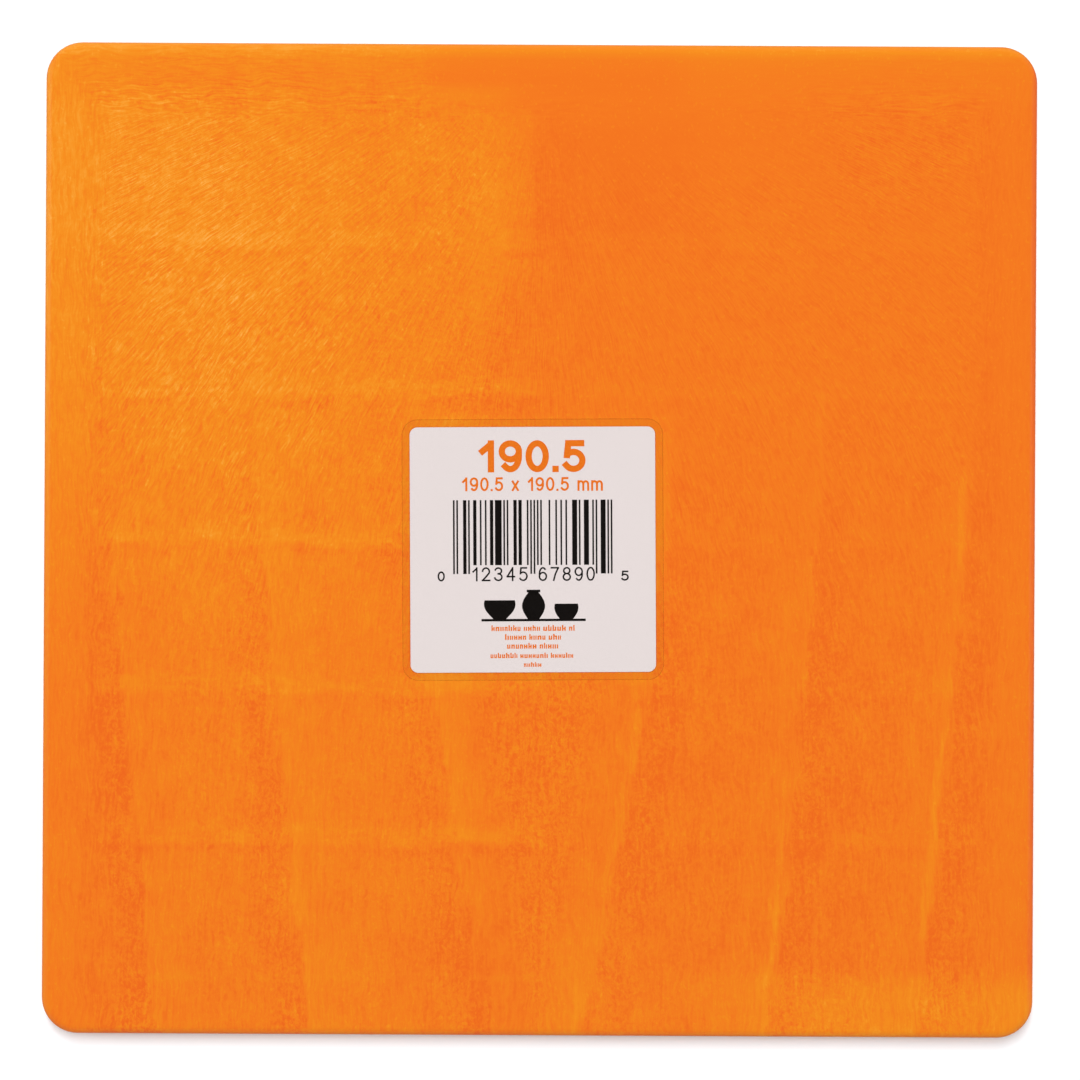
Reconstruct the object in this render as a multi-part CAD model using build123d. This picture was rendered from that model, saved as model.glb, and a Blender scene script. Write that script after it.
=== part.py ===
from build123d import *

import math
import os

# Square throwing bat for a potter's wheel: a moulded plastic plate with a flat working
# face, a skirt and a rib grid underneath, and a paper label under a clear film on top.
# The underside's foot plane is Z = 0 and the plate is centred on X = Y = 0.
# +Z is up, out of the working face, and +Y is the top of the label's print.
# All lengths are in millimetres, and angles are in degrees.

# Plate, outside
SIDE = 190.5
THICKNESS = 6.35
CORNER_R = 7.0
TOP_EDGE_R = 1.5
FOOT_EDGE_R = 0.5

# Plate, underside
DECK = 2.85
SKIRT_WALL = 2.4
RIB_WIDTH = 1.8
RIB_PITCH = 28.575
CHANNEL_MIN = 4.0
POCKET_CORNER_R = 2.0
POCKET_ROOT_R = 0.6
DRAFT = 1.5

# Paper label
LABEL_SIDE = 47.1
LABEL_THICKNESS = 0.10
LABEL_CORNER_R = 1.5
LABEL_X = -1.27
LABEL_Y = -1.85
LABEL_TURN = 0.55

# Clear film over the label
FILM_MARGIN = 1.55
FILM_THICKNESS = 0.06
FILM_CORNER_R = 3.1

# The rib grid: as many whole cells as leave a channel inside the skirt
POCKET_DEPTH = THICKNESS - DECK
BORDER_MIN = SKIRT_WALL + CHANNEL_MIN + RIB_WIDTH / 2
CELLS = int((SIDE - 2 * BORDER_MIN) // RIB_PITCH)
GRID_SIDE = CELLS * RIB_PITCH + RIB_WIDTH
POCKET_SIDE = RIB_PITCH - RIB_WIDTH
CHANNEL_OUTER = SIDE - 2 * SKIRT_WALL
CHANNEL_OUTER_R = max(CORNER_R - SKIRT_WALL, POCKET_CORNER_R)

DRAFT_RUN = POCKET_DEPTH * math.tan(math.radians(DRAFT))

LABEL_PLACE = Location((LABEL_X, LABEL_Y, THICKNESS), (0, 0, LABEL_TURN))
HEIGHT_TOLERANCE = 0.001


def edges_at(shape, height):
    """The edges of a shape's flat faces that lie on the plane Z = height."""
    low, high = height - HEIGHT_TOLERANCE, height + HEIGHT_TOLERANCE
    return shape.faces().filter_by(Axis.Z).filter_by_position(Axis.Z, low, high).edges()


def slab():
    """Rounded square block with a soft top edge and a small round on its foot."""
    with BuildPart() as block:
        with BuildSketch():
            RectangleRounded(SIDE, SIDE, CORNER_R)
        extrude(amount=THICKNESS)
        fillet(edges_at(block.part, THICKNESS), TOP_EDGE_R)
        fillet(edges_at(block.part, 0), FOOT_EDGE_R)
    return block.part


def pockets():
    """One tapered core per rib cell, with round corners and a round root."""
    with BuildPart() as cores:
        with BuildSketch():
            with GridLocations(RIB_PITCH, RIB_PITCH, CELLS, CELLS):
                RectangleRounded(POCKET_SIDE, POCKET_SIDE, POCKET_CORNER_R)
        extrude(amount=POCKET_DEPTH, taper=DRAFT)
        fillet(edges_at(cores.part, POCKET_DEPTH), POCKET_ROOT_R)
    return cores.part


def channel():
    """Core of the open channel that runs between the rib grid and the skirt."""
    with BuildPart() as outer:
        with BuildSketch():
            RectangleRounded(CHANNEL_OUTER, CHANNEL_OUTER, CHANNEL_OUTER_R)
        extrude(amount=POCKET_DEPTH, taper=DRAFT)
    with BuildPart() as grid_block:
        with BuildSketch(Plane.XY.offset(POCKET_DEPTH)):
            root_side = GRID_SIDE + 2 * DRAFT_RUN
            RectangleRounded(root_side, root_side, POCKET_CORNER_R)
        extrude(amount=-POCKET_DEPTH, taper=DRAFT)
    ring = outer.part - grid_block.part
    return fillet(edges_at(ring, POCKET_DEPTH), POCKET_ROOT_R)


def bat_plate():
    """The moulded plate: the slab with its underside cored out to leave skirt and ribs."""
    return slab() - channel() - pockets()


def label_square(side, corner_r, height):
    """Rounded square sheet on the working face, at the label's place and turn."""
    with BuildPart() as sheet:
        with BuildSketch():
            RectangleRounded(side, side, corner_r)
        extrude(amount=height)
    return LABEL_PLACE * sheet.part


def label_sheet():
    """Printed paper label, stuck to the working face."""
    return label_square(LABEL_SIDE, LABEL_CORNER_R, LABEL_THICKNESS)


def label_film():
    """Clear film that covers the label and sticks to the plate all round it."""
    border = label_square(LABEL_SIDE + 2 * FILM_MARGIN, FILM_CORNER_R, FILM_THICKNESS)
    raised = label_square(
        LABEL_SIDE + 2 * FILM_THICKNESS,
        LABEL_CORNER_R + FILM_THICKNESS,
        LABEL_THICKNESS + FILM_THICKNESS,
    )
    return border + raised - label_sheet()


NODES = {
    "bat_plate": bat_plate,
    "label_sheet": label_sheet,
    "label_film": label_film,
}

os.makedirs("parts", exist_ok=True)
for name, make in NODES.items():
    piece = make()
    piece.label = name
    export_step(piece, f"parts/{name}.step")
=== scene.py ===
import math

import bmesh
import bpy
import numpy as np
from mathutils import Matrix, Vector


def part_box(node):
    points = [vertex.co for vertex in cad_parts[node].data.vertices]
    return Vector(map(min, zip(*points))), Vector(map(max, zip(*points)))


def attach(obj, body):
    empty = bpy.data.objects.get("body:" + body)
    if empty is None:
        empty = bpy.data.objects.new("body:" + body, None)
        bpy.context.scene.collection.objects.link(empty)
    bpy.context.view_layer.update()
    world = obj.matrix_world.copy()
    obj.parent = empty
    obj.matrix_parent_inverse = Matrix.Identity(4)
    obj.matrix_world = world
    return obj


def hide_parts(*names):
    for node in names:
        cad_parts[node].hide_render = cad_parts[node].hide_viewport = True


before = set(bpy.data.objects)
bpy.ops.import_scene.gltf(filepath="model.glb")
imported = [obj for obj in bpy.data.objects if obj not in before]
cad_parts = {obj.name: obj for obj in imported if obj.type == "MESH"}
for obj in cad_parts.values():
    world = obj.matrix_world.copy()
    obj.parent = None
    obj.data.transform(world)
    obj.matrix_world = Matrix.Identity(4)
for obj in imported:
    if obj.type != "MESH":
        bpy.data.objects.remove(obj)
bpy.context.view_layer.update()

# A square throwing bat for a potter's wheel: an orange plastic moulding with a printed
# paper label under clear film. Sizes are in millimetres, and become metres in the meshes.
MM = 0.001

# Plate, as in the CAD part
CORNER_R = 7.0
TOP_EDGE_R = 1.5
FOOT_EDGE_R = 0.5
DECK = 2.85
SKIRT_WALL = 2.4
RIB_WIDTH = 1.8
RIB_PITCH = 28.575
RIB_CELLS = 6
POCKET_CORNER_R = 2.0
POCKET_ROOT_R = 0.6
DRAFT = math.radians(1.5)

# Label and film, as in the CAD part
LABEL_CORNER_R = 1.5
LABEL_TURN = math.radians(0.55)
FILM_MARGIN = 1.55
FILM_CORNER_R = 3.1


def millimetres(box):
    """A CAD box's two corners as arrays in millimetres."""
    return [np.array(corner) / MM for corner in box]


PLATE_LOW, PLATE_HIGH = millimetres(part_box("bat_plate"))
LABEL_LOW, LABEL_HIGH = millimetres(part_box("label_sheet"))
FILM_TOP_Z = millimetres(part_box("label_film"))[1][2]

SIDE = PLATE_HIGH[0] - PLATE_LOW[0]
TOP_Z = PLATE_HIGH[2]
LABEL_CENTRE = (LABEL_LOW + LABEL_HIGH)[:2] / 2
LABEL_TOP_Z = LABEL_HIGH[2]
TURNED_GROWTH = math.cos(LABEL_TURN) + math.sin(LABEL_TURN)
LABEL_SIDE = (LABEL_HIGH[0] - LABEL_LOW[0] - 2 * LABEL_CORNER_R) / TURNED_GROWTH + 2 * LABEL_CORNER_R

HALF_PITCH = RIB_PITCH / 2
GRID_HALF = RIB_CELLS * HALF_PITCH
POCKET_DEPTH = TOP_Z - DECK
ARC_CENTRE = SIDE / 2 - CORNER_R


# ---------------------------------------------------------------- meshes


def rounded_square(half, radius, marks, steps):
    """Outline of a rounded square, anticlockwise from the middle of its +X side.

    One quarter is the side's points at the given marks, then an arc of equal turns about
    (half - radius, half - radius), then the next side's marks backwards; the quarter is
    turned four times.
    """
    turn = np.linspace(0, np.pi / 2, steps + 1)[1:-1]
    centre = half - radius
    side = np.column_stack([np.full(len(marks), half), marks])
    arc = centre + radius * np.column_stack([np.cos(turn), np.sin(turn)])
    quarter = np.vstack([side, arc, side[:0:-1, ::-1]])
    quarters = [quarter]
    for _ in range(3):
        x, y = quarters[-1].T
        quarters.append(np.column_stack([-y, x]))
    return np.vstack(quarters)


def ring(half, radius, height, marks, steps):
    """A rounded square outline at one height."""
    outline = rounded_square(half, radius, marks, steps)
    return np.column_stack([outline, np.full(len(outline), height)])


def fitted_ring(half, radius, height, marks, count):
    """A ring with a set number of points.

    The marks that its straight side has room for stay, and the rest of the points go round the corner.
    """
    kept = marks[marks < half - radius + 1e-6]
    if radius == 0:
        kept = kept[kept < half - 1e-6]
    steps = count // 4 - 2 * len(kept) + 2
    return ring(half, radius, height, kept, steps)


def grid_faces(rows, columns, closed):
    """Quads between neighbouring rows of a grid whose points are stored row by row."""
    last = columns if closed else columns - 1
    row, column = np.meshgrid(np.arange(rows - 1), np.arange(last), indexing="ij")
    beside = (column + 1) % columns
    corners = [row * columns + column, row * columns + beside]
    corners += [(row + 1) * columns + beside, (row + 1) * columns + column]
    return np.stack(corners, axis=-1).reshape(-1, 4)


def lofted(rings):
    """Patch between rings of equal length, as (points, quads)."""
    rings = np.array(rings)
    return rings.reshape(-1, 3), grid_faces(rings.shape[0], rings.shape[1], closed=True)


def joined(patches):
    """Several (points, quads) patches as one."""
    starts = np.cumsum([0] + [len(points) for points, _ in patches[:-1]])
    faces = [quads + start for (_, quads), start in zip(patches, starts)]
    return np.vstack([points for points, _ in patches]), np.vstack(faces)


def solid(name, patches, sharp=35):
    """A closed piece from patches in millimetres.

    Seams are merged, faces point outward, and edges that turn more than `sharp` degrees stay crisp.
    """
    points, quads = joined(patches)
    mesh = bpy.data.meshes.new(name)
    mesh.from_pydata(points * MM, [], quads)
    work = bmesh.new()
    work.from_mesh(mesh)
    bmesh.ops.remove_doubles(work, verts=work.verts, dist=1e-6)
    bmesh.ops.recalc_face_normals(work, faces=work.faces)
    work.to_mesh(mesh)
    work.free()
    mesh.shade_smooth()
    mesh.set_sharp_from_angle(angle=math.radians(sharp))
    piece = bpy.data.objects.new(name, mesh)
    bpy.context.scene.collection.objects.link(piece)
    return piece


def vertex_places(mesh):
    """A mesh's vertex positions in millimetres."""
    places = np.zeros(len(mesh.vertices) * 3)
    mesh.vertices.foreach_get("co", places)
    return places.reshape(-1, 3) / MM


def store(mesh, name, values):
    """Saves one number or one vector per vertex as a named attribute."""
    kind, field = ("FLOAT", "value") if values.ndim == 1 else ("FLOAT_VECTOR", "vector")
    attribute = mesh.attributes.new(name, kind, "POINT")
    attribute.data.foreach_set(field, values.astype(np.float32).ravel())


# ---------------------------------------------------------------- the plate's shape

CELL_STEPS = 10
CORNER_STEPS = 12
NEAR_RIB = HALF_PITCH * np.linspace(0, 1, CELL_STEPS + 1) ** 1.3
ONE_CELL = np.concatenate([NEAR_RIB, RIB_PITCH - NEAR_RIB[-2::-1]])
CELL_MARKS = [k * RIB_PITCH + ONE_CELL[:-1] for k in range(RIB_CELLS // 2)]
SIDE_MARKS = np.concatenate([*CELL_MARKS, [GRID_HALF, ARC_CENTRE]])
RING_POINTS = 4 * (2 * len(SIDE_MARKS) + CORNER_STEPS - 2)

# How deep and how wide the working face sinks over a rib
SINK_DEPTH = 0.03
SINK_WIDTH = 1.5


def bell(distance, width):
    """Smooth bump: 1 at no distance, falling as a Gaussian of that width."""
    return np.exp(-((distance / width) ** 2))


def step(value, start, end):
    """Smooth step: 0 at start, 1 at end, easing at both."""
    t = np.clip((value - start) / (end - start), 0, 1)
    return t * t * (3 - 2 * t)


def off_rib(across):
    """Distance to the nearest rib's middle line."""
    return np.abs((across + HALF_PITCH) % RIB_PITCH - HALF_PITCH)


def working_face():
    """The top: a square lattice whose corner squares are mapped onto quarter discs.

    Inside a corner square, (a, b) from 0 to 1 goes to (a sqrt(1 - b^2/2), b sqrt(1 - a^2/2)).
    The face sinks a few hundredths of a millimetre along the ribs below it.
    """
    flat_r = CORNER_R - TOP_EDGE_R
    turn = np.linspace(0, np.pi / 4, CORNER_STEPS // 2 + 1)[1:]
    lines = np.append(SIDE_MARKS, ARC_CENTRE + flat_r * math.sqrt(2) * np.sin(turn))
    lines = np.concatenate([-lines[:0:-1], lines])
    x, y = np.meshgrid(lines, lines)
    a, b = (np.clip(np.abs(v) - ARC_CENTRE, 0, None) / flat_r for v in (x, y))
    across = np.sign(x) * (np.minimum(np.abs(x), ARC_CENTRE) + flat_r * a * np.sqrt(1 - b * b / 2))
    along = np.sign(y) * (np.minimum(np.abs(y), ARC_CENTRE) + flat_r * b * np.sqrt(1 - a * a / 2))
    inside = 1 - step(np.maximum(np.abs(across), np.abs(along)), GRID_HALF, ARC_CENTRE)
    sink = np.maximum(bell(off_rib(across), SINK_WIDTH), bell(off_rib(along), SINK_WIDTH))
    height = TOP_Z - SINK_DEPTH * sink * inside
    points = np.stack([across, along, height], axis=-1).reshape(-1, 3)
    return points, grid_faces(len(lines), len(lines), closed=False)


def fillet_turns(count):
    """Sine and cosine of evenly spaced turns from 0 to a quarter."""
    turn = np.linspace(0, np.pi / 2, count + 1)
    return list(zip(np.sin(turn), np.cos(turn)))


def edge_and_channel():
    """The plate's whole edge, as rounded square rings that follow one profile.

    The profile goes from the working face over its round edge, down the side, round the skirt's foot, up
    and down the channel, and ends on the foot of the outermost rib. Each round is a quarter turn.
    """
    half = SIDE / 2
    lean = math.tan(DRAFT)
    root_z = POCKET_DEPTH - POCKET_ROOT_R
    path = []
    for s, c in fillet_turns(8):
        back = TOP_EDGE_R * (1 - s)
        path.append((half - back, CORNER_R - back, TOP_Z - TOP_EDGE_R * (1 - c)))
    path.append((half, CORNER_R, TOP_Z / 2))
    for s, c in fillet_turns(4):
        back = FOOT_EDGE_R * (1 - c)
        path.append((half - back, CORNER_R - back, FOOT_EDGE_R * (1 - s)))
    inner, inner_r = half - SKIRT_WALL, CORNER_R - SKIRT_WALL
    path.append((inner, inner_r, 0))
    for s, c in fillet_turns(4):
        run = lean * root_z + POCKET_ROOT_R * (1 - c)
        path.append((inner - run, inner_r - run, root_z + POCKET_ROOT_R * s))
    block, block_r = GRID_HALF + RIB_WIDTH / 2, POCKET_CORNER_R
    for s, c in fillet_turns(4)[::-1]:
        run = lean * root_z + POCKET_ROOT_R * (1 - c)
        path.append((block + run, block_r + run, root_z + POCKET_ROOT_R * s))
    path.append((block, block_r, 0))
    path.append((GRID_HALF, 0, 0))
    rings = [fitted_ring(h, r, z, SIDE_MARKS, RING_POINTS) for h, r, z in path]
    return lofted(rings)


def rib_cells():
    """The rib grid's underside: one cell's foot, drafted wall, round root and floor, copied to every cell."""
    marks = HALF_PITCH - NEAR_RIB[::-1]
    count = 8 * CELL_STEPS
    lean = math.tan(DRAFT)
    root_z = POCKET_DEPTH - POCKET_ROOT_R
    mouth = HALF_PITCH - RIB_WIDTH / 2
    path = [(HALF_PITCH, 0, 0), (mouth, POCKET_CORNER_R, 0)]
    for s, c in fillet_turns(3):
        run = lean * root_z + POCKET_ROOT_R * (1 - c)
        path.append((mouth - run, POCKET_CORNER_R - run, root_z + POCKET_ROOT_R * s))
    rings = [fitted_ring(h, r, z, marks, count) for h, r, z in path]
    for share in (0.6, 0.25, 0):
        rings.append(rings[4] * (share, share, 1))
    points, quads = lofted(rings)
    middles = (np.arange(RIB_CELLS) - (RIB_CELLS - 1) / 2) * RIB_PITCH
    return joined([(points + (x, y, 0), quads) for x in middles for y in middles])


# ---------------------------------------------------------------- the plate's colour maps


# How the melt's stream lines spread, bend and fan out, and how near the gate they stop bending
FLOW_SPREAD = 2.5
FLOW_BEND = 0.148
FLOW_FAN = 2.36
FLOW_END = 0.92


def flow_lines(x, y):
    """Two coordinates in millimetres, across and along the way the melt ran from the gate at the top middle.

    With a = x / half side, b = y / half side and p = FLOW_SPREAD, across is asinh(sinh(p a) exp(p T)) / p,
    where T = FLOW_BEND * exp(FLOW_FAN * b) stops growing at b = FLOW_END, and it is constant along a stream
    line. Along is b - ln(cosh(p a)) / p.
    """
    reach = SIDE / 2
    a, b = x / reach, y / reach
    bend = FLOW_BEND * np.exp(FLOW_FAN * np.minimum(b, FLOW_END))
    across = np.arcsinh(np.sinh(FLOW_SPREAD * a) * np.exp(FLOW_SPREAD * bend)) / FLOW_SPREAD
    along = b - np.log(np.cosh(FLOW_SPREAD * a)) / FLOW_SPREAD
    return across * reach, along * reach


# A tone is how much green the lit orange holds, from 0 to 255: the higher, the yellower. The last value
# is the share of the pattern that the sides and the underside keep.
PLAIN_TONE = 124
BASE_TONE = 121
HIDDEN_SHARE = 0.25


def on_face(z):
    """1 on the working face and the top of its round edge, falling to 0 on the sides and the underside."""
    return step(z, TOP_Z - TOP_EDGE_R, TOP_Z - TOP_EDGE_R / 2)


def tone_map(x, y, z):
    """How yellow the orange is: broad lobes and edge bands, each a product of smooth steps, added up. The
    bands along the round edge are painted light and shade, and the lobe towards the upper left is partly
    painted sheen.

    The sides and the underside keep a quarter of that pattern, about a plain middle tone. Places and
    widths are in millimetres from the middle of the plate.
    """
    # The left half, which turns yellower towards the top, and the channel's border
    left_start = 4 + 5 * (1 - step(y, 20, 55))
    left = step(-x, left_start, 2 * left_start)
    low_left = step(-y, 40, 90) * step(-x, 40, 85)
    in_border = step(np.abs(x), GRID_HALF, GRID_HALF + 4)
    tone = BASE_TONE + 6 * left * (1 - 0.9 * low_left) + 3 * in_border
    # Lighter and yellower towards the upper left: partly the orange's own tone, partly painted sheen of the
    # key light's haze on the strokes
    tone += 20 * step(-x, -5, 80) * step(y, -45, 60)
    tone -= 7 * step(-x, 64, 82) * step(y, -75, -45) * (1 - 0.6 * step(y, 45, 72))
    tone -= 3 * step(x, 80, 88) * step(y, -20, 20)

    # The foot of the plate, and the seam that runs down from the gate
    tone += 15 * step(x, 12, 60) * step(-y, 80, 88) + 6 * bell(x - 9, 13) * step(-y, 60, 76)
    tone -= 7 * bell(x + 15, 12) * bell(y + 79, 7)
    tone += 7 * bell(x + 8, 16) * bell(y - 66, 16) * step(-x, 0.6, 2.2)
    tone -= 3.5 * step(x, -3, -1) * step(-x, -38, -22) * step(y, 52, 60) * step(-y, -84, -76)
    tone -= 4 * bell(x + 50, 20) * bell(y - 80, 5)

    # Round the label
    past_label = np.maximum(np.abs(x - LABEL_CENTRE[0]), np.abs(y - LABEL_CENTRE[1])) - LABEL_SIDE / 2
    tone += 7 * (1 - step(past_label, 1, 3)) * (1 - 0.8 * step(-x, 22, 25))

    # The smooth strip along the top, with the gate in its middle
    strip = step(y, 80, 88) * (1 - step(-x, 66, 86))
    strip_tone = 120 + 9 * step(-x, 16, 29) + 5 * step(x, 22, 32) + 5 * step(y, 88, 93)
    tone += (strip_tone - tone) * 0.85 * strip
    tone += 8 * bell(x + 15, 10) * bell(y - 85.5, 1.6)
    tone -= 7 * step(-x, 66, 80) * step(y, 80, 88)

    # The round edge, with painted light and shade: lighter along the top and left rims, darker along the
    # right rim
    near_side = SIDE / 2 - TOP_EDGE_R
    tone += 13 * step(y, near_side - TOP_EDGE_R, near_side)
    tone += 8 * step(-x, near_side, near_side + 1) - 12 * step(x, near_side, near_side + 1)
    return PLAIN_TONE + (tone - PLAIN_TONE) * (HIDDEN_SHARE + (1 - HIDDEN_SHARE) * on_face(z))


def rib_map(x, y):
    """Where the melt ran along the ribs: line count, strength of its bands, strength of the level lines.

    Going out from the middle, a line falls on each rib at the top of the plate and leans inward below,
    so the count is (|x| + lean) / pitch with a lean that grows as a power of the way down.
    """
    way_down = np.clip((50 - y) / 130, 0, None) ** 1.3
    lean = way_down * (10.5 + 7 * bell(x, 26))
    count = (np.abs(x) + lean) / RIB_PITCH
    upright = (0.15 + 0.85 * step(-y, -45, 25)) * step(count, 0.6, 0.8)
    upright *= 1 - 0.7 * step(x, 0, 6) * step(y, 0, 25)
    left = step(-x, -3, 3)
    level = 0.35 + 1.3 * left * step(-y, -75, -50) + 0.5 * step(x, 45, 70) * step(-y, -8, 8)
    level *= 1 - step(np.maximum(np.abs(x), np.abs(y)), GRID_HALF - 3, GRID_HALF)
    return np.column_stack([count, upright, level])


def stroke_map(x, y):
    """How strong the strokes are: strongest at the upper left, partly as painted sheen of glints on them
    there, faint at the upper right and by the gate.
    """
    # Stronger towards the upper left: partly painted sheen of the key light's glints on the strokes
    strength = 1.12 + 0.5 * step(-x, -10, 60) * step(y, -40, 50)
    strength += 0.2 * step(-x, 20, 60) * step(-y, -30, 30)
    strength -= 0.6 * step(x, -15, 20) * step(y, -35, 30)
    strength += 0.5 * bell(x - 72, 16) * bell(y - 76, 12)
    strength += 0.35 * step(x, 30, 60) * step(-y, 76, 85)
    strength -= 0.4 * step(y, 66, 76) * bell(x - 22, 32)
    gate = step(y, 80, 86) * (1 - step(np.abs(x - 3), 20, 27))
    border = step(np.maximum(np.abs(x), y), GRID_HALF - 3, GRID_HALF + 4)
    return strength * (1 - 0.75 * gate) * (1 - 0.55 * border)


def curl_map(x, y):
    """Where the strokes break up into short curls: over the lower half and up the middle, off the sides."""
    curls = np.maximum(0.85 * step(-y, -15, 30), 0.6 * bell(x + 20, 24))
    return curls * (1 - step(np.abs(x), GRID_HALF - 6, GRID_HALF + 3))


def lean_map(x, y):
    """Where strokes stand upright (the sides), where they lie level (the top), and where threads show."""
    side = step(np.abs(x), GRID_HALF - 6, GRID_HALF + 3)
    level = step(y, 78, 84) * (1 - side * step(np.abs(x) - y, -3, 3))
    threads = step(x, 25, 40) * step(-y, -45, 0) + step(x, 2, 8) * step(-y, 25, 35)
    return np.column_stack([side, level, np.minimum(threads, 1)])


# The flat map as shares of its square: the top's width, the underside's, the gaps and the strips' spacing
ATLAS_TOP = 0.70
ATLAS_UNDER = 0.27
ATLAS_GAP = 0.01
STRIP_STEP = 0.05

# A face whose normal rises less than this belongs to the side strips
STEEP = 0.6


def lay_out(mesh):
    """Flat map of the plate: working face large, underside small, and the four sides as strips above."""
    loops = np.zeros(len(mesh.loops), int)
    mesh.loops.foreach_get("vertex_index", loops)
    totals = np.zeros(len(mesh.polygons), int)
    mesh.polygons.foreach_get("loop_total", totals)
    normals = np.zeros(len(mesh.polygons) * 3)
    mesh.polygons.foreach_get("normal", normals)
    x, y, z = vertex_places(mesh)[loops].T
    nx, ny, nz = np.repeat(normals.reshape(-1, 3), totals, axis=0).T
    past_x, past_y = (np.clip(np.abs(v) - ARC_CENTRE, 0, None) for v in (x, y))
    edge = (np.abs(nz) < STEEP) & (np.maximum(nx * x, ny * y) > 0) & (np.hypot(past_x, past_y) > CORNER_R - 1)
    spread, middle = ATLAS_TOP / SIDE, ATLAS_GAP + ATLAS_TOP / 2
    face_x = np.abs(nx) > np.abs(ny)
    side = np.where(face_x, np.where(nx > 0, 0, 1), np.where(ny > 0, 2, 3))
    u = np.where(edge, np.where(face_x, y, x), x) * spread + middle
    v = np.where(edge, z * spread + ATLAS_TOP + 3 * ATLAS_GAP + STRIP_STEP * side, y * spread + middle)
    under = ~edge & ((nz < 0) | (z < TOP_Z - 2 * TOP_EDGE_R))
    small = ATLAS_UNDER / SIDE
    u = np.where(under, x * small + ATLAS_TOP + 2 * ATLAS_GAP + ATLAS_UNDER / 2, u)
    v = np.where(under, y * small + ATLAS_GAP + ATLAS_UNDER / 2, v)
    flat = mesh.uv_layers.new(name="OFBake")
    flat.uv.foreach_set("vector", np.column_stack([u, v]).astype(np.float32).ravel())


def bat_plate():
    """The moulded plate with its colour maps."""
    plate = solid("plate_moulding", [working_face(), edge_and_channel(), rib_cells()])
    x, y, z = vertex_places(plate.data).T
    across, along = flow_lines(x, y)
    store(plate.data, "flow", np.column_stack([across, along, z]))
    store(plate.data, "tone", tone_map(x, y, z))
    store(plate.data, "stroke", stroke_map(x, y))
    store(plate.data, "curl", curl_map(x, y))
    store(plate.data, "lean", lean_map(x, y))
    shown = on_face(z)
    store(plate.data, "ribs", rib_map(x, y) * np.column_stack([np.ones_like(z), shown, shown]))
    lay_out(plate.data)
    return plate


# ---------------------------------------------------------------- the film


def on_label(points):
    """Turns and moves points from the label's own frame to its place on the plate."""
    c, s = math.cos(LABEL_TURN), math.sin(LABEL_TURN)
    x, y, z = points.T
    return np.column_stack([LABEL_CENTRE[0] + c * x - s * y, LABEL_CENTRE[1] + s * x + c * y, z])


def past_paper(points):
    """How far points of the label's own frame lie outside the paper's rounded outline, level with it."""
    corner = LABEL_SIDE / 2 - LABEL_CORNER_R
    past_x, past_y = (np.clip(np.abs(v) - corner, 0, None) for v in points.T[:2])
    return np.hypot(past_x, past_y) - LABEL_CORNER_R


# The film's skin, the glue below it, how far its slope runs and how wide its painted shadow lines show
FILM_THICKNESS = 0.036
FILM_GAP = 0.006
TENT_RUN = 0.32
EDGE_LINE = 0.16


def clear_film():
    """Film over the label: a level border on the plate, a short slope up the paper, and a level middle.

    The outer skin's profile goes inward from the border's edge, and the inner skin is the same profile
    one film thickness lower, run backwards, so that the shell closes at the edge and in the middle.
    The slope is a smooth step. Thin lines at the film's rim and along the paper take the second material, a
    painted shadow of the small steps there.
    """
    half = LABEL_SIDE / 2
    border_z = TOP_Z + FILM_GAP + FILM_THICKNESS
    marks = np.linspace(0, half - 2 * FILM_CORNER_R, 12)
    profile = [(FILM_MARGIN, FILM_CORNER_R, border_z)]
    profile.append((FILM_MARGIN - EDGE_LINE, FILM_CORNER_R - EDGE_LINE, border_z))
    for t in np.linspace(0, 1, 7):
        out = TENT_RUN * (1 - t)
        profile.append((out, LABEL_CORNER_R + out, border_z + (FILM_TOP_Z - border_z) * step(t, 0, 1)))
    upper = [ring(half + out, r, z, marks, 16) for out, r, z in profile]
    upper += [upper[-1] * (share, share, 1) for share in (0.6, 0.2, 0)]
    lower = [skin - (0, 0, FILM_THICKNESS) for skin in upper]
    points, quads = lofted(upper[::-1] + lower)
    middle = past_paper(points[quads].mean(axis=1))
    # Faces along the film's rim and the paper's edge, which take the painted shadow material
    lined = (middle > FILM_MARGIN - EDGE_LINE) | ((middle > 0) & (middle < EDGE_LINE))
    film = solid("clear_label_film", [(on_label(points), quads)], sharp=60)
    film.data.polygons.foreach_set("material_index", lined.astype(np.int32))
    return film


# ---------------------------------------------------------------- the label's print

# The ink's thickness, and how much more each crossing stroke gets
INK_THICKNESS = 0.01
INK_OVERLAP = 0.004


def block(low, high):
    """Closed box of ink between two (x, y) corners on the label, as (points, quads)."""
    (x0, y0), (x1, y1) = low, high
    z0, z1 = LABEL_TOP_Z, LABEL_TOP_Z + INK_THICKNESS
    corners = [(x, y, z) for z in (z0, z1) for x, y in ((x0, y0), (x1, y0), (x1, y1), (x0, y1))]
    quads = [(3, 2, 1, 0), (4, 5, 6, 7), (0, 1, 5, 4), (1, 2, 6, 5), (2, 3, 7, 6), (3, 0, 4, 7)]
    return np.array(corners), np.array(quads)


def printed(name, patches):
    """One ink's whole print as a single piece."""
    points, quads = joined(patches)
    return solid(name, [(on_label(points), quads)], sharp=30)


def arc(centre, radii, start, end, points=18):
    """Points round an ellipse from one angle to another, in degrees."""
    turn = np.radians(np.linspace(start, end, points))
    return np.column_stack([centre[0] + radii[0] * np.cos(turn), centre[1] + radii[1] * np.sin(turn)])


def line(*points):
    """A straight-sided centre line."""
    return np.array(points, float)


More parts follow.
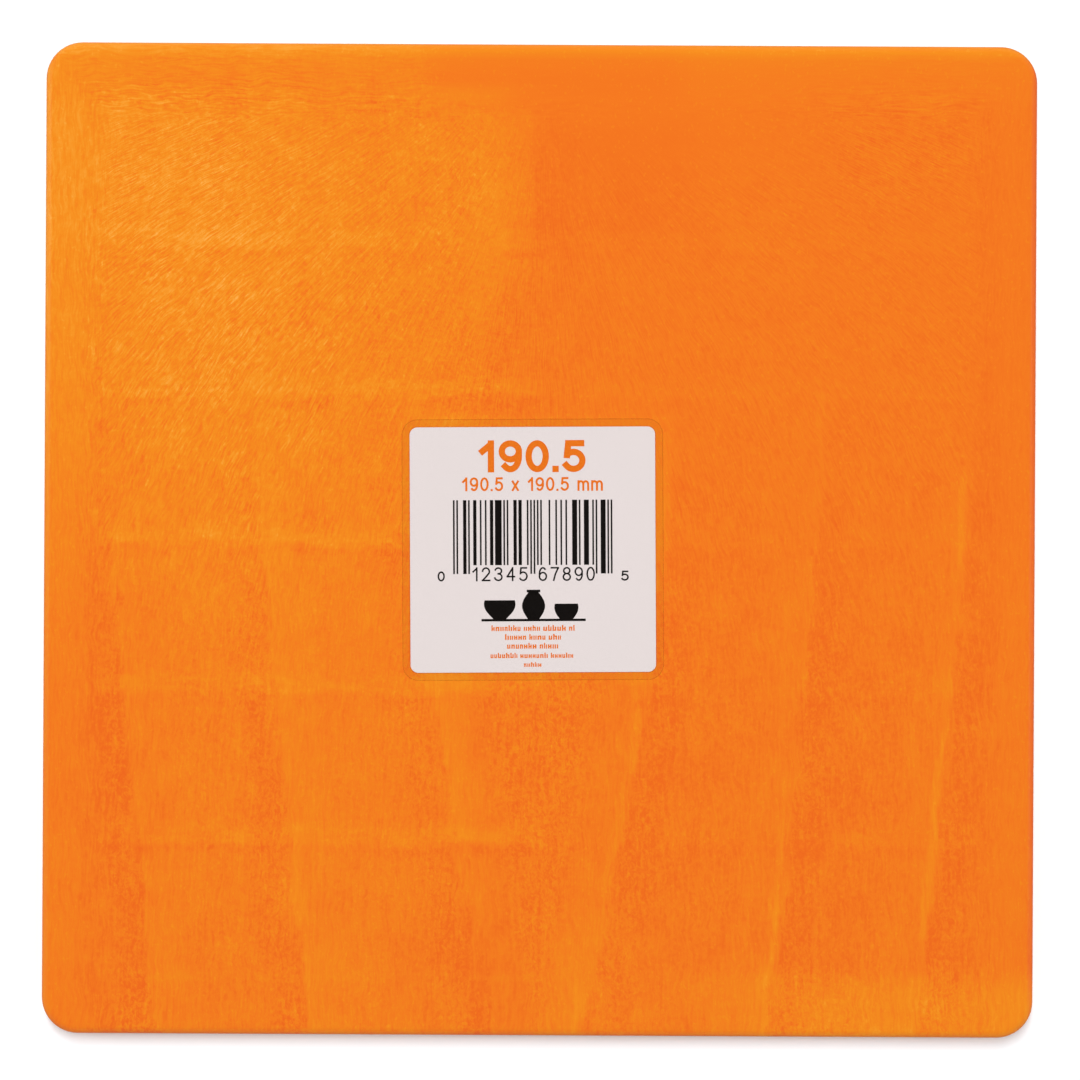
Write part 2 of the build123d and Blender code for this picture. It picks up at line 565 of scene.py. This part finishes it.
RING = arc((0.5, 0.5), (0.5, 0.5), 0, 360, 41)
LOW_BOWL = arc((0.5, 0.31), (0.5, 0.31), 0, 360, 37)
HIGH_BOWL = arc((0.5, 0.765), (0.44, 0.235), 0, 360, 33)
HOOK = arc((0.5, 0.5), (0.5, 0.5), 52, 184, 25)
ARCH = arc((0.25, 0.46), (0.25, 0.26), 180, 0)
FIVE_BOWL = arc((0.48, 0.33), (0.52, 0.33), 128, -146, 26)
LEG = np.vstack([ARCH, line((0.5, 0.0))])
TWO = np.vstack([arc((0.49, 0.71), (0.47, 0.29), 172, -25), line((0.6, 0.36), (0.06, 0.02))])

# Each figure's width and its centre lines, in a box from (0, 0) to (1, 1)
FIGURES = {
    "0": (1.0, [RING]),
    "1": (0.62, [line((0.9, 0.0), (0.9, 1.0)), line((0.1, 0.7), (0.78, 0.93))]),
    "2": (1.0, [TWO, line((0.0, 0.0), (1.0, 0.0))]),
    "3": (1.0, [arc((0.48, 0.765), (0.44, 0.235), 160, -90), arc((0.48, 0.265), (0.5, 0.265), 90, -165)]),
    "4": (1.0, [line((0.74, 1), (0.74, 0)), line((0, 0.3), (1, 0.3)), line((0.7, 0.96), (0.04, 0.34))]),
    "5": (1.0, [line((0.93, 1.0), (0.18, 1.0)), line((0.17, 0.96), (0.1, 0.54)), FIVE_BOWL]),
    "6": (1.0, [LOW_BOWL, HOOK]),
    "7": (1.0, [line((0.0, 1.0), (1.0, 1.0)), line((0.96, 0.96), (0.58, 0.5), (0.34, 0.0))]),
    "8": (1.0, [HIGH_BOWL, arc((0.5, 0.265), (0.5, 0.265), 0, 360, 37)]),
    "9": (1.0, [1 - LOW_BOWL, 1 - HOOK]),
    ".": (0.0, [line((0.0, 0.0), (0.0, 0.0))]),
    "x": (0.8, [line((0, 0), (1, 0.72)), line((0, 0.72), (1, 0))]),
    "m": (1.5, [line((0, 0), (0, 0.72)), LEG, LEG + (0.5, 0)]),
    " ": (0.4, []),
}


def ink_stroke(path, width, thickness):
    """Flat ribbon of ink: at each point of the centre line, a rectangle across the line's direction there.

    An open line runs on past its ends by half the ribbon's width, as a square cap.
    """
    ends_meet = np.allclose(path[0], path[-1]) and len(path) > 2
    ahead = np.gradient(path, axis=0) + (0, 1e-9)
    if ends_meet:
        ahead[[0, -1]] = path[1] - path[-2]
    ahead /= np.linalg.norm(ahead, axis=1, keepdims=True)
    if not ends_meet:
        path = np.vstack([path[0] - ahead[0] * width / 2, path[1:-1], path[-1] + ahead[-1] * width / 2])
    across = np.column_stack([-ahead[:, 1], ahead[:, 0]]) * width / 2
    low = np.full(len(path), LABEL_TOP_Z)
    high = low + thickness
    corners = [(path - across, low), (path + across, low), (path + across, high), (path - across, high)]
    points, quads = lofted(np.stack([np.column_stack(corner) for corner in corners], axis=1))
    if not ends_meet:
        last = len(points) - 4
        quads = np.vstack([quads, [(0, 1, 2, 3), (last + 3, last + 2, last + 1, last)]])
    return points, quads


def figures(text, left, right, low, high, stroke, gap=0.25):
    """A line of figures that fills the box from (left, low) to (right, high), in strokes of one width.

    Where a figure's strokes cross, each is a little thicker than the one before, so no two faces coincide.
    """
    widths = np.array([FIGURES[letter][0] for letter in text])
    gaps = gap * (len(text) - 1)
    unit = (right - left - stroke * len(text)) / (widths.sum() + gaps)
    ribbons = []
    at = left + stroke / 2
    for letter, width in zip(text, widths):
        size = np.array([width * unit, high - low - stroke])
        for number, path in enumerate(FIGURES[letter][1]):
            thickness = INK_THICKNESS + number * INK_OVERLAP
            ribbons.append(ink_stroke(path * size + (at, low + stroke / 2), stroke, thickness))
        at += width * unit + gap * unit + stroke
    return ribbons


LEFT_CODES = "0001101 0011001 0010011 0111101 0100011 0110001 0101111 0111011 0110111 0001011".split()
SAMPLE_CODE = "012345678905"
BAR = 0.322
BAR_TOP = 9.54
BAR_FOOT = -2.96
GUARD_FOOT = -4.64


def bar_code():
    """A twelve-digit retail code for the made-up number: left digits in odd codes, right digits inverted."""
    left = "".join(LEFT_CODES[int(d)] for d in SAMPLE_CODE[:6])
    right = "".join(LEFT_CODES[int(d)] for d in SAMPLE_CODE[6:]).translate(str.maketrans("01", "10"))
    modules = "101" + left + "01010" + right + "101"
    tall = set(range(10)) | set(range(45, 50)) | set(range(85, 95))
    start = -len(modules) * BAR / 2
    bars = []
    run = 0
    for index, dark in enumerate(modules + "0"):
        if dark == "1":
            run += 1
        elif run:
            first = index - run
            foot = GUARD_FOOT if first in tall else BAR_FOOT
            bars.append(block((start + first * BAR, foot), (start + index * BAR, BAR_TOP)))
            run = 0
    return bars


# How tall a small letter is beside a capital
X_HEIGHT = 0.72


def word_row(left, right, low, high, seed):
    """A line of small print as letter-sized groups of blocks with word gaps, which spell nothing."""
    random = np.random.default_rng(seed)
    rise = high - low
    blocks = []
    at = left
    until_gap = random.integers(3, 8)
    while at < right:
        width = rise * random.uniform(0.5, 0.68)
        tall = high if random.random() < 0.35 else low + X_HEIGHT * rise
        stroke = width * 0.38
        end = min(at + width, right)
        blocks.append(block((at, low), (min(at + stroke, end), tall)))
        if end - at > 2 * stroke:
            blocks.append(block((end - stroke, low), (end, low + X_HEIGHT * rise)))
            if random.random() < 0.8:
                level = low + rise * random.choice([0.0, 0.26, 0.52])
                blocks.append(block((at + stroke, level), (end - stroke, level + 0.2 * rise)))
        at = end + rise * 0.17
        until_gap -= 1
        if until_gap == 0:
            at += rise * 0.4
            until_gap = random.integers(3, 8)
    return blocks


def pot(centre, shelf, foot, belly, mouth, tall, steps=28):
    """A thrown pot's flat silhouette, standing on the shelf line.

    Its half width goes from foot to mouth as a quarter sine, plus a belly that swells as half a sine.
    """
    t = np.linspace(0, 1, steps)
    width = foot + (mouth - foot) * np.sin(np.pi / 2 * t) + belly * np.sin(np.pi * t)
    height = shelf + tall * t
    low = np.full(steps, LABEL_TOP_Z)
    high = low + INK_THICKNESS
    corners = [(centre - width, low), (centre + width, low), (centre + width, high), (centre - width, high)]
    points, quads = lofted(np.stack([np.column_stack([x, height, z]) for x, z in corners], axis=1))
    last = len(points) - 4
    return points, np.vstack([quads, [(0, 1, 2, 3), (last + 3, last + 2, last + 1, last)]])


# The print's heights and strokes on the label, and each unreadable row's half width, foot and top by seed
POT_SHELF = -13.3
CODE_LOW = -6.04
CODE_HIGH = -3.35
CODE_END_HIGH = -4.1
CODE_STROKE = 0.31
HEADING_STROKE = 1.22
SIZE_STROKE = 0.4
WORD_ROWS = {
    0: (8, -15.6, -14.5),
    1: (5.4, -17.3, -16.2),
    2: (5, -19, -17.9),
    3: (8.2, -20.8, -19.8),
    9: (1.8, -22.5, -21.6),
}


def label_print():
    """Orange and black print: figures, bar code, three plain pots on a shelf line, and unreadable rows."""
    black = bar_code()
    black.append(pot(-6.4, POT_SHELF, foot=1.2, belly=0.35, mouth=2.9, tall=3.6))
    black.append(pot(0.1, POT_SHELF, foot=1.1, belly=1.25, mouth=0.9, tall=5.2))
    black.append(block((-1.2, POT_SHELF + 5.1), (1.4, POT_SHELF + 5.6)))
    black.append(pot(6.4, POT_SHELF, foot=1.3, belly=0.25, mouth=2.2, tall=2.9))
    black.append(block((-9.9, POT_SHELF - 0.45), (10.1, POT_SHELF + 0.02)))
    black += figures("0", -18.3, -16.9, CODE_LOW, CODE_END_HIGH, CODE_STROKE)
    black += figures("12345", -11.7, -1.0, CODE_LOW, CODE_HIGH, CODE_STROKE, gap=0.5)
    black += figures("67890", 1.1, 11.9, CODE_LOW, CODE_HIGH, CODE_STROKE, gap=0.5)
    black += figures("5", 16.9, 18.4, CODE_LOW, CODE_END_HIGH, CODE_STROKE)
    black_print = printed("label_print_black", black)
    orange = figures("190.5", -10.4, 10.2, 14.85, 21.0, HEADING_STROKE, gap=0.2)
    orange += figures("190.5 x 190.5 mm", -13.6, 13.5, 11.25, 13.9, SIZE_STROKE, gap=0.3)
    for seed, (half, low, high) in WORD_ROWS.items():
        orange += word_row(-half, half, low, high, seed)
    return black_print, printed("label_print_orange", orange)


# ---------------------------------------------------------------- materials


def linear(code):
    """sRGB hex as linear red, green, blue and alpha."""
    shares = [int(code[k : k + 2], 16) / 255 for k in (1, 3, 5)]
    return [s / 12.92 if s <= 0.04045 else ((s + 0.055) / 1.055) ** 2.4 for s in shares] + [1]


def lit(code, light, veil=0.0):
    """The surface colour that shows as the given sRGB hex under that much light and that much haze."""
    return [max(share / light - veil, 0) for share in linear(code)[:3]] + [1]


def node(tree, kind, *values, inputs=None, stops=(), **settings):
    """Adds a node: values fill its sockets in order, inputs by name or number, and settings are its options.

    A value that is another node, or one of its sockets, becomes a link. Stops are a colour ramp's positions
    with their colours, where a bare number is a grey, and a ramp of greys is eased into a smooth curve.
    """
    made = tree.nodes.new(kind)
    for key, value in settings.items():
        setattr(made, key, value)
    for key, value in [*enumerate(values), *(inputs or {}).items()]:
        if isinstance(value, bpy.types.Node):
            value = value.outputs[0]
        if isinstance(value, bpy.types.NodeSocket):
            tree.links.new(value, made.inputs[key])
        else:
            made.inputs[key].default_value = value
    if stops:
        greys = isinstance(stops[0][1], float)
        points = made.color_ramp.elements
        while len(points) < len(stops):
            points.new(0.5)
        for point, (position, colour) in zip(points, stops):
            point.position = position
            point.color = (colour, colour, colour, 1) if greys else colour
        made.color_ramp.interpolation = "EASE" if greys else "LINEAR"
    return made


def blank(name):
    """A new material's node tree with only its output."""
    material = bpy.data.materials.new(name)
    material.use_nodes = True
    material.node_tree.nodes.clear()
    output = node(material.node_tree, "ShaderNodeOutputMaterial")
    return material, material.node_tree, output


# How much light the working face gets, how much haze its gloss adds, and the tones that the oranges span
LIGHT = 1.14
VEIL = 0.0015
TONE_LOW, TONE_HIGH = 100.0, 175.0
# From 148 up the oranges also turn whiter: painted sheen of glints on the strokes, over the orange's own
# paler tone
ORANGES = {
    104: "#F06820",
    112: "#F16E20",
    122: "#F47A21",
    134: "#F48620",
    142: "#F58E20",
    148: "#F69425",
    156: "#F89C30",
    166: "#FBA640",
    174: "#FEAE50",
}

# Across a rib's spacing, going out: the trough past the last rib, the dome, and the light band by the next
BAND_CURVE = [(0, 0.25), (0.05, 0.1), (0.1, 0.12), (0.3, 0.42), (0.6, 0.48)]
BAND_CURVE += [(0.82, 0.7), (0.91, 0.78), (0.95, 0.92), (1, 0.25)]
# A bright thread just inside each rib
THREAD_CURVE = [(0.915, 0.0), (0.94, 1.0), (0.955, 1.0), (0.98, 0.0)]
# The same going up, for the level ribs: dark below a rib and light above it
ROW_CURVE = [(0, 0.5), (0.34, 0.5), (0.42, 0.25), (0.49, 1.0), (0.53, 0.95), (0.62, 0.5)]

# How far each pattern moves the tone, from its darkest to its lightest
STROKE_SWING = 16.0
MOTTLE_SWING = 24.0
LONG_SWING = 24.0
BLOTCH_SWING = 18.0
BAND_SWING = 15.0
ROW_SWING = 13.0
THREAD_RISE = 10.0
FLECK_RISE = 9.0

# How unevenly the bands and threads run, in rib spacings, and the level lines, in millimetres
BAND_WANDER = 0.3
THREAD_WANDER = 0.24
ROW_WANDER = 2.4
SWAY = 2.6
SWAY_SPACING = 7.0


def moulded_orange_plastic():
    """Orange polypropylene, injection moulded: satin, with strokes and mottling in paler and redder orange.

    The melt's pigment drew out into fine strokes along the way it ran from the gate, with a light smooth
    band on the near side of each rib and curled strokes beyond it. Real pigment streaks are about 0.1 mm
    wide, and are drawn at 0.4 mm by 3.4 mm so that they show.
    """
    material, tree, output = blank("moulded_orange_polypropylene")
    maths, vector = "ShaderNodeMath", "ShaderNodeVectorMath"
    mix, noise = "ShaderNodeMix", "ShaderNodeTexNoise"

    # Places in millimetres, swayed by a millimetre or so, and the plate's own maps
    metres = node(tree, "ShaderNodeTexCoord").outputs["Object"]
    place = node(tree, vector, metres, (1 / MM, 1 / MM, 1 / MM), operation="MULTIPLY")
    wave = node(tree, noise, inputs={"Vector": place, "Scale": 1 / SWAY_SPACING, "Detail": 2.0})
    centred = node(tree, vector, wave.outputs["Color"], (0.5, 0.5, 0.5), operation="SUBTRACT")
    sway = node(tree, vector, centred, (SWAY, SWAY, 0), operation="MULTIPLY")
    swayed = node(tree, vector, place, sway, operation="ADD")
    flow_map = node(tree, "ShaderNodeAttribute", attribute_name="flow").outputs["Vector"]
    flow = node(tree, vector, flow_map, sway, operation="ADD")
    lean_map = node(tree, "ShaderNodeAttribute", attribute_name="lean").outputs["Vector"]
    standing, level_share, thread_share = node(tree, "ShaderNodeSeparateXYZ", lean_map).outputs
    rib_map = node(tree, "ShaderNodeAttribute", attribute_name="ribs").outputs["Vector"]
    count, upright, level = node(tree, "ShaderNodeSeparateXYZ", rib_map).outputs
    tone = node(tree, "ShaderNodeAttribute", attribute_name="tone").outputs["Fac"]
    strength = node(tree, "ShaderNodeAttribute", attribute_name="stroke").outputs["Fac"]
    curl = node(tree, "ShaderNodeAttribute", attribute_name="curl").outputs["Fac"]

    # Each pattern's coordinates, its size across and along in millimetres, its detail and its distortion
    drawn = {
        "fine_flow": (flow, 0.4, 3.4, 2.0, 0.06),
        "fine_upright": (swayed, 0.4, 3.4, 2.0, 0.06),
        "fine_level": (swayed, 3.4, 0.4, 2.0, 0.06),
        "long_flow": (flow, 0.7, 11.0, 1.0, 0.0),
        "long_upright": (swayed, 0.7, 11.0, 1.0, 0.0),
        "long_level": (swayed, 11.0, 0.7, 1.0, 0.0),
        "curls": (swayed, 0.6, 0.8, 2.0, 0.9),
        "mottle": (swayed, 0.9, 1.1, 3.0, 0.2),
        "blotch": (place, 7.0, 8.0, 3.0, 0.0),
        "fleck": (place, 0.5, 0.7, 0.0, 0.0),
        "patch": (place, 11.0, 11.0, 2.0, 0.0),
        "band_edge": (place, 2.5, 10.0, 3.0, 0.0),
        "thread_edge": (place, 9.0, 30.0, 3.0, 0.0),
        "thread_break": (place, 4.0, 26.0, 2.0, 0.0),
        "band_break": (place, 5.0, 16.0, 2.0, 0.0),
        "row_edge": (place, 5.0, 5.0, 2.0, 0.0),
        "row_break": (place, 9.0, 2.5, 2.0, 0.0),
    }
    for name, (where, across, along, detail, distortion) in drawn.items():
        spacing = (1 / across, 1 / along, 1 / min(across, along))
        stretched = node(tree, vector, where, spacing, operation="MULTIPLY")
        values = {"Vector": stretched, "Scale": 1.0, "Detail": detail, "Roughness": 0.6}
        drawn[name] = node(tree, noise, inputs=values | {"Distortion": distortion})

    # Light bands inside the upright ribs, with uneven edges and strength
    band_count = node(tree, maths, drawn["band_edge"], BAND_WANDER, count, operation="MULTIPLY_ADD")
    band_place = node(tree, maths, band_count, BAND_WANDER / 2, operation="SUBTRACT")
    phase = node(tree, maths, band_place, operation="FRACT")
    band = node(tree, "ShaderNodeValToRGB", phase, stops=BAND_CURVE)
    streaked = node(tree, maths, band, upright, operation="MULTIPLY")
    broken = node(tree, "ShaderNodeValToRGB", drawn["band_break"], stops=[(0.35, 0.35), (0.65, 1.0)])
    band_strength = node(tree, maths, upright, broken, operation="MULTIPLY")
    band_tone = node(tree, maths, band, BAND_SWING, -BAND_SWING / 2, operation="MULTIPLY_ADD")

    # Thin bright threads beside the ribs on the right half
    thread_count = node(tree, maths, drawn["thread_edge"], THREAD_WANDER, count, operation="MULTIPLY_ADD")
    thread_place = node(tree, maths, thread_count, THREAD_WANDER / 2, operation="SUBTRACT")
    thread_phase = node(tree, maths, thread_place, operation="FRACT")
    thread = node(tree, "ShaderNodeValToRGB", thread_phase, stops=THREAD_CURVE)
    thread_break = node(tree, "ShaderNodeValToRGB", drawn["thread_break"], stops=[(0.4, 0.0), (0.62, 1.0)])
    thread_strength = node(tree, maths, thread_share, thread_break, operation="MULTIPLY")
    thread_tone = node(tree, maths, thread, thread_strength, operation="MULTIPLY")

    # Light and dark lines along the level ribs, wavy and patchy
    up = node(tree, "ShaderNodeSeparateXYZ", swayed).outputs[1]
    wavy_up = node(tree, maths, drawn["row_edge"], ROW_WANDER, up, operation="MULTIPLY_ADD")
    half_row = 0.5 - ROW_WANDER / 2 / RIB_PITCH
    row_count = node(tree, maths, wavy_up, 1 / RIB_PITCH, half_row, operation="MULTIPLY_ADD")
    row_phase = node(tree, maths, row_count, operation="FRACT")
    row = node(tree, "ShaderNodeValToRGB", row_phase, stops=ROW_CURVE)
    patchy = node(tree, "ShaderNodeValToRGB", drawn["row_break"], stops=[(0.35, 0.15), (0.65, 1.0)])
    row_strength = node(tree, maths, level, patchy, operation="MULTIPLY")
    row_tone = node(tree, maths, row, ROW_SWING, -ROW_SWING / 2, operation="MULTIPLY_ADD")

    # Strokes along the flow, upright in the bands and at the sides, and level along the top edge
    in_band = node(tree, maths, streaked, 0.9, operation="MULTIPLY")
    upright_share = node(tree, maths, standing, in_band, operation="MAXIMUM")
    strokes = []
    for kind in ("fine", "long"):
        flowing, standing_up, lying = (drawn[f"{kind}_{way}"] for way in ("flow", "upright", "level"))
        leaning = node(tree, mix, inputs={0: upright_share, 2: flowing, 3: standing_up})
        strokes.append(node(tree, mix, inputs={0: level_share, 2: leaning, 3: lying}))
    fine, long = strokes

    # Everything added up as one tone, each pattern centred on nothing
    off_band = node(tree, maths, 1.0, streaked, operation="SUBTRACT")
    curl_share = node(tree, maths, curl, off_band, operation="MULTIPLY")
    curled = node(tree, mix, inputs={0: curl_share, 2: fine, 3: drawn["curls"]})
    crisp = node(tree, "ShaderNodeValToRGB", curled, stops=[(0.3, 0.0), (0.7, 1.0)])
    near_middle = -(MOTTLE_SWING + STROKE_SWING) / 2
    mottle = node(tree, maths, drawn["mottle"], MOTTLE_SWING, near_middle, operation="MULTIPLY_ADD")
    near = node(tree, maths, crisp, STROKE_SWING, mottle, operation="MULTIPLY_ADD")
    calm = node(tree, mix, inputs={0: streaked, 2: 1.15, 3: 0.4})
    patch = node(tree, mix, inputs={0: drawn["patch"], 2: 0.4, 3: 1.6})
    near_strength = node(tree, maths, calm, patch, operation="MULTIPLY")
    far_middle = -(BLOTCH_SWING + LONG_SWING) / 2
    blotch = node(tree, maths, drawn["blotch"], BLOTCH_SWING, far_middle, operation="MULTIPLY_ADD")
    far = node(tree, maths, long, LONG_SWING, blotch, operation="MULTIPLY_ADD")
    grain = node(tree, maths, near, near_strength, far, operation="MULTIPLY_ADD")
    grained = node(tree, maths, grain, strength, tone, operation="MULTIPLY_ADD")
    banded = node(tree, maths, band_tone, band_strength, grained, operation="MULTIPLY_ADD")
    lined = node(tree, maths, row_tone, row_strength, banded, operation="MULTIPLY_ADD")
    fleck = node(tree, "ShaderNodeValToRGB", drawn["fleck"], stops=[(0.66, 0.0), (0.82, 1.0)])
    threaded = node(tree, maths, thread_tone, THREAD_RISE, lined, operation="MULTIPLY_ADD")
    total = node(tree, maths, fleck, FLECK_RISE, threaded, operation="MULTIPLY_ADD")

    share = node(tree, "ShaderNodeMapRange", total, TONE_LOW, TONE_HIGH, 0.0, 1.0)
    span = TONE_HIGH - TONE_LOW
    stops = [((level - TONE_LOW) / span, lit(code, LIGHT, VEIL)) for level, code in ORANGES.items()]
    colour = node(tree, "ShaderNodeValToRGB", share, stops=stops)
    rough = node(tree, maths, fine, 0.2, 0.24, operation="MULTIPLY_ADD")
    bump = node(tree, "ShaderNodeBump", inputs={"Strength": 0.5, "Distance": 0.008 * MM, "Height": fine})
    finish = {"Base Color": colour, "Roughness": rough, "Normal": bump}
    gloss = {"IOR": 1.49, "Specular IOR Level": 0.15}
    surface = node(tree, "ShaderNodeBsdfPrincipled", inputs=finish | gloss)
    tree.links.new(surface.outputs[0], output.inputs[0])
    return material


# The paper under its film gets a little less light than the plate
PAPER_LIGHT = 0.95


def label_paper():
    """White label paper, uncoated and calendered: matte, faintly warm, with a fine fibre grain.

    Fibres are some 0.03 mm thick, and their clumps are drawn at 0.5 mm.
    """
    material, tree, output = blank("uncoated_label_paper")
    place = node(tree, "ShaderNodeTexCoord").outputs["Object"]
    grain = node(tree, "ShaderNodeTexNoise", inputs={"Vector": place, "Scale": 1 / (0.5 * MM), "Detail": 4.0})
    shades = [(0.0, lit("#E5DAD8", LIGHT * PAPER_LIGHT)), (1.0, lit("#ECE1DF", LIGHT * PAPER_LIGHT))]
    colour = node(tree, "ShaderNodeValToRGB", grain, stops=shades)
    bump = node(tree, "ShaderNodeBump", inputs={"Strength": 0.3, "Distance": 0.01 * MM, "Height": grain})
    finish = {"Base Color": colour, "Roughness": 0.85, "Normal": bump, "Specular IOR Level": 0.2}
    surface = node(tree, "ShaderNodeBsdfPrincipled", inputs=finish)
    tree.links.new(surface.outputs[0], output.inputs[0])
    return material


def label_ink(name, dark, pale):
    """Litho ink on paper: flat, and a little paler where the paper's grain, drawn at 0.4 mm, lifts it."""
    material, tree, output = blank(name)
    place = node(tree, "ShaderNodeTexCoord").outputs["Object"]
    grain = node(tree, "ShaderNodeTexNoise", inputs={"Vector": place, "Scale": 1 / (0.4 * MM), "Detail": 3.0})
    shades = [(0.3, lit(dark, LIGHT * PAPER_LIGHT)), (0.7, lit(pale, LIGHT * PAPER_LIGHT))]
    colour = node(tree, "ShaderNodeValToRGB", grain, stops=shades)
    finish = {"Base Color": colour, "Roughness": 0.6, "Specular IOR Level": 0.2}
    surface = node(tree, "ShaderNodeBsdfPrincipled", inputs=finish)
    tree.links.new(surface.outputs[0], output.inputs[0])
    return material


def film_plastic():
    """Clear cast polypropylene film: takes a few hundredths of the light away, and shines at a slant."""
    material, tree, output = blank("clear_polypropylene_film")
    finish = {"Base Color": linear("#2C2620"), "Roughness": 0.12, "Alpha": 0.02, "IOR": 1.49}
    surface = node(tree, "ShaderNodeBsdfPrincipled", inputs=finish)
    tree.links.new(surface.outputs[0], output.inputs[0])
    return material


def film_edge():
    """The film's cut edge and the foot of its slope round the paper, darkened as a painted shadow of these
    small steps.
    """
    material, tree, output = blank("film_edge_painted_shadow")
    finish = {"Base Color": linear("#A24A18"), "Roughness": 0.4, "Alpha": 0.1}
    surface = node(tree, "ShaderNodeBsdfPrincipled", inputs=finish)
    tree.links.new(surface.outputs[0], output.inputs[0])
    return material


def studio_floor_paper():
    """Plain white floor, lit a little from below like a light table, so that shadows on it stay pale.

    It is clear from underneath, so that the plate's ribs can be seen.
    """
    material, tree, output = blank("white_studio_floor")
    finish = {"Base Color": linear("#EEF3F6"), "Roughness": 1.0, "Specular IOR Level": 0.0}
    glow = {"Emission Color": linear("#FFFFFF"), "Emission Strength": 0.12}
    surface = node(tree, "ShaderNodeBsdfPrincipled", inputs=finish | glow)
    from_below = node(tree, "ShaderNodeNewGeometry").outputs["Backfacing"]
    clear = node(tree, "ShaderNodeBsdfTransparent")
    one_sided = node(tree, "ShaderNodeMixShader", from_below, surface, clear)
    tree.links.new(one_sided.outputs[0], output.inputs[0])
    return material


# ---------------------------------------------------------------- the object


def finish_piece(piece, materials, slot, *nodes):
    """Gives a piece its materials and its body, and hides the CAD nodes it stands for. The slot is not used.
    """
    for material in materials:
        piece.data.materials.append(material)
    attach(piece, "root")
    if nodes:
        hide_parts(*nodes)


finish_piece(bat_plate(), [moulded_orange_plastic()], "orange_plastic", "bat_plate")
finish_piece(clear_film(), [film_plastic(), film_edge()], "clear_film", "label_film")
black_print, orange_print = label_print()
finish_piece(black_print, [label_ink("black_label_ink", "#050201", "#0C0604")], "label_paper")
finish_piece(orange_print, [label_ink("orange_label_ink", "#E86E10", "#EE7A1C")], "label_paper")

# The CAD's paper sheet stays as it is, with a better material
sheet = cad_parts["label_sheet"]
sheet.data.materials.clear()
sheet.data.materials.append(label_paper())


# ---------------------------------------------------------------- floor, light and camera

FLOOR_HALF = 4.0


def floor():
    """A wide flat floor at the plate's foot, which the plate's shiny rim doesn't mirror."""
    h = FLOOR_HALF
    mesh = bpy.data.meshes.new("floor")
    mesh.from_pydata([(-h, -h, 0), (h, -h, 0), (h, h, 0), (-h, h, 0)], [], [(0, 1, 2, 3)])
    ground = bpy.data.objects.new("floor", mesh)
    bpy.context.scene.collection.objects.link(ground)
    mesh.materials.append(studio_floor_paper())
    ground.visible_glossy = False


# Each lamp's place and size in metres and its power in watts
LAMPS = {
    "key": ((-0.1, 0.88, 2.86), (0.45, 1.7), 66.0),
    "left": ((-1.22, 0.25, 1.02), (0.5, 0.8), 3.5),
    "right": ((1.22, 0.05, 1.02), (0.3, 0.8), 3.0),
}


def soft_box(name, place, size, power):
    """A rectangular lamp aimed at the middle of the plate."""
    lamp = bpy.data.lights.new(name, "AREA")
    lamp.shape = "RECTANGLE"
    lamp.size, lamp.size_y = size
    lamp.energy = power
    carrier = bpy.data.objects.new(name, lamp)
    bpy.context.scene.collection.objects.link(carrier)
    aim = -np.array(place)
    away = math.hypot(aim[0], aim[1])
    carrier.location = place
    carrier.rotation_euler = (math.atan2(away, -aim[2]), 0, math.atan2(-aim[0], aim[1]))
    return carrier


# The sky's grey by the sine of its height over the horizon
SKY_GREYS = {0.02: "#A0A0A0", 0.12: "#EDEDED", 0.25: "#EDEDED", 0.85: "#505050"}


def studio_sky():
    """Surround light: bright above the horizon, dim overhead and below, so that faces stay free of haze."""
    world = bpy.data.worlds.new("studio")
    bpy.context.scene.world = world
    world.use_nodes = True
    tree = world.node_tree
    tree.nodes.clear()
    place = node(tree, "ShaderNodeTexCoord").outputs["Generated"]
    up = node(tree, "ShaderNodeSeparateXYZ", place).outputs[2]
    stops = [(height, linear(code)) for height, code in SKY_GREYS.items()]
    colour = node(tree, "ShaderNodeValToRGB", up, stops=stops)
    shine = node(tree, "ShaderNodeBackground", colour, 1.0)
    output = node(tree, "ShaderNodeOutputWorld")
    tree.links.new(shine.outputs[0], output.inputs[0])


# How many millimetres of the working face the view spans, and where the camera hangs over it
FRAME_WIDTH = 207.3
LENS = 135.0
SENSOR = 36.0
CAMERA_X = 0.1
CAMERA_TURN = math.radians(0.30)
FAR_CLIP = 20


def camera():
    """Long lens straight above the plate."""
    view = bpy.data.cameras.new("camera")
    view.lens = LENS
    view.sensor_width = SENSOR
    view.clip_end = FAR_CLIP
    carrier = bpy.data.objects.new("camera", view)
    bpy.context.scene.collection.objects.link(carrier)
    height = TOP_Z + FRAME_WIDTH * LENS / SENSOR
    carrier.location = (CAMERA_X * MM, 0, height * MM)
    carrier.rotation_euler = (0, 0, CAMERA_TURN)
    bpy.context.scene.camera = carrier


floor()
studio_sky()
lamps = {name: soft_box(name, *settings) for name, settings in LAMPS.items()}
lamps["key"].visible_glossy = False
camera()
bpy.context.scene.view_settings.view_transform = "Standard"
